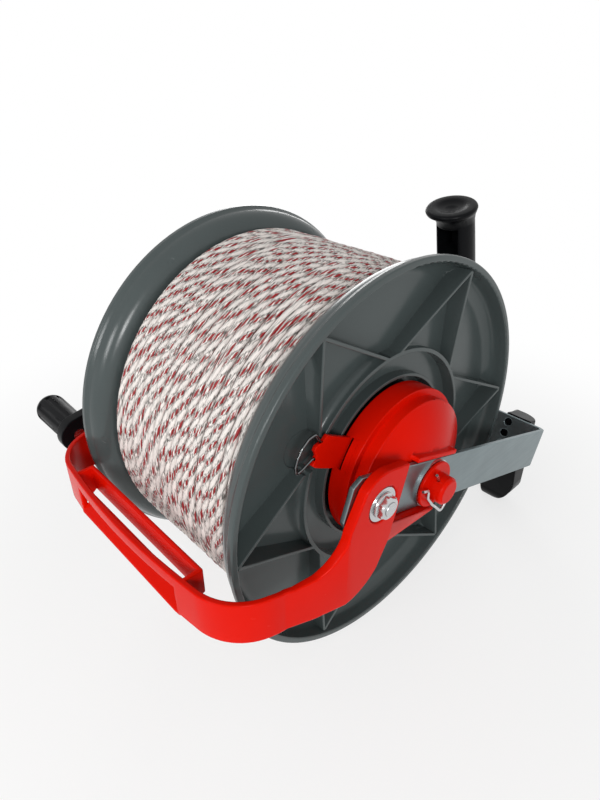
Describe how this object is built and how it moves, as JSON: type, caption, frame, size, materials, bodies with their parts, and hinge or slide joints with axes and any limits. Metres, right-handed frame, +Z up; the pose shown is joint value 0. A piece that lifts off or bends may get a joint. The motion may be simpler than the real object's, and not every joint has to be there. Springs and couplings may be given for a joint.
{
  "type": "electric fence reel",
  "caption": "Hand-wound fence reel: ribbed drum full of rope in a steel strap frame with a carrying bail, rear grip, geared crank and hub lock.",
  "frame": {"origin": "on the floor, straight under the middle of the spool's axis", "axes": "+X to the rear grip, the spool and crank turn about Y with the crank at +Y, +Z up"},
  "size_m": [0.3492, 0.2768, 0.25],
  "materials": {
    "flange_grey": "satin moulded",
    "handle_red": "glossy moulded",
    "zinc_steel": "zinc plated, dull",
    "bright_steel": "bright zinc",
    "black_plastic": "satin moulded",
    "rope": "twisted monofilament with wires",
    "gear_plastic": "natural nylon",
    "bearing_bronze": "sintered bronze"
  },
  "bodies": {
    "frame": {"strap_frame": "zinc_steel", "bail_handle": "handle_red", "bail_bolts": "bright_steel", "bail_washers": "bright_steel", "bail_nuts": "bright_steel", "rear_grip": "black_plastic", "grip_screws": "bright_steel", "near_foot": "black_plastic", "far_foot": "black_plastic", "hub_cover": "handle_red", "ring_gear": "gear_plastic", "front_bush": "bearing_bronze", "rear_bush": "bearing_bronze", "spacer_sleeve": "black_plastic", "axle_washer": "bright_steel", "lock_pin": "bright_steel"},
    "drum": {"front_flange": "flange_grey", "rear_flange": "flange_grey", "drum_core": "flange_grey", "drum_bushes": "bearing_bronze", "tie_screws": "bright_steel", "tie_nuts": "bright_steel", "rope_core": "rope", "rope_winding": "rope", "sun_gear": "gear_plastic", "sun_screws": "bright_steel"},
    "crank": {"crank_shaft": "bright_steel", "axle_cap": "handle_red", "r_clip": "bright_steel", "planet_carrier": "bright_steel", "planet_pins": "bright_steel", "cross_pins": "bright_steel", "crank_arm": "black_plastic", "crank_bolt": "bright_steel", "crank_washer": "bright_steel", "knob_spindle": "bright_steel"},
    "planet_1": {"planet_gear_1": "gear_plastic"},
    "planet_2": {"planet_gear_2": "gear_plastic"},
    "planet_3": {"planet_gear_3": "gear_plastic"},
    "knob": {"crank_knob": "black_plastic"},
    "lock": {"lock_lever": "handle_red", "lock_wire": "bright_steel"}
  },
  "joints": [
    {"name": "drum_spin", "type": "hinge", "parent": "frame", "child": "drum", "pos_m": [0, 0, 0.125], "axis": [0, 1, 0], "continuous": true},
    {"name": "crank_spin", "type": "hinge", "parent": "frame", "child": "crank", "pos_m": [0, 0, 0.125], "axis": [0, 1, 0], "continuous": true},
    {"name": "planet_1_spin", "type": "hinge", "parent": "crank", "child": "planet_1", "pos_m": [-0.00466, -0.068, 0.15615], "axis": [0, 1, 0], "continuous": true},
    {"name": "planet_2_spin", "type": "hinge", "parent": "crank", "child": "planet_2", "pos_m": [-0.02465, -0.068, 0.10539], "axis": [0, 1, 0], "continuous": true},
    {"name": "planet_3_spin", "type": "hinge", "parent": "crank", "child": "planet_3", "pos_m": [0.02931, -0.068, 0.11346], "axis": [0, 1, 0], "continuous": true},
    {"name": "knob_spin", "type": "hinge", "parent": "crank", "child": "knob", "pos_m": [-0.11651, 0.14, 0.10759], "axis": [0, 1, 0], "continuous": true},
    {"name": "lock_lift", "type": "hinge", "parent": "frame", "child": "lock", "pos_m": [-0.03965, -0.0741, 0.1493], "axis": [0.5225, 0, 0.8526], "range_deg": [0, 25]}
  ],
  "couplings": [
    {"joint": "crank_spin", "follows": "drum_spin", "ratio": 0.33333},
    {"joint": "planet_1_spin", "follows": "drum_spin", "ratio": -1.3333},
    {"joint": "planet_2_spin", "follows": "drum_spin", "ratio": -1.3333},
    {"joint": "planet_3_spin", "follows": "drum_spin", "ratio": -1.3333}
  ]
}
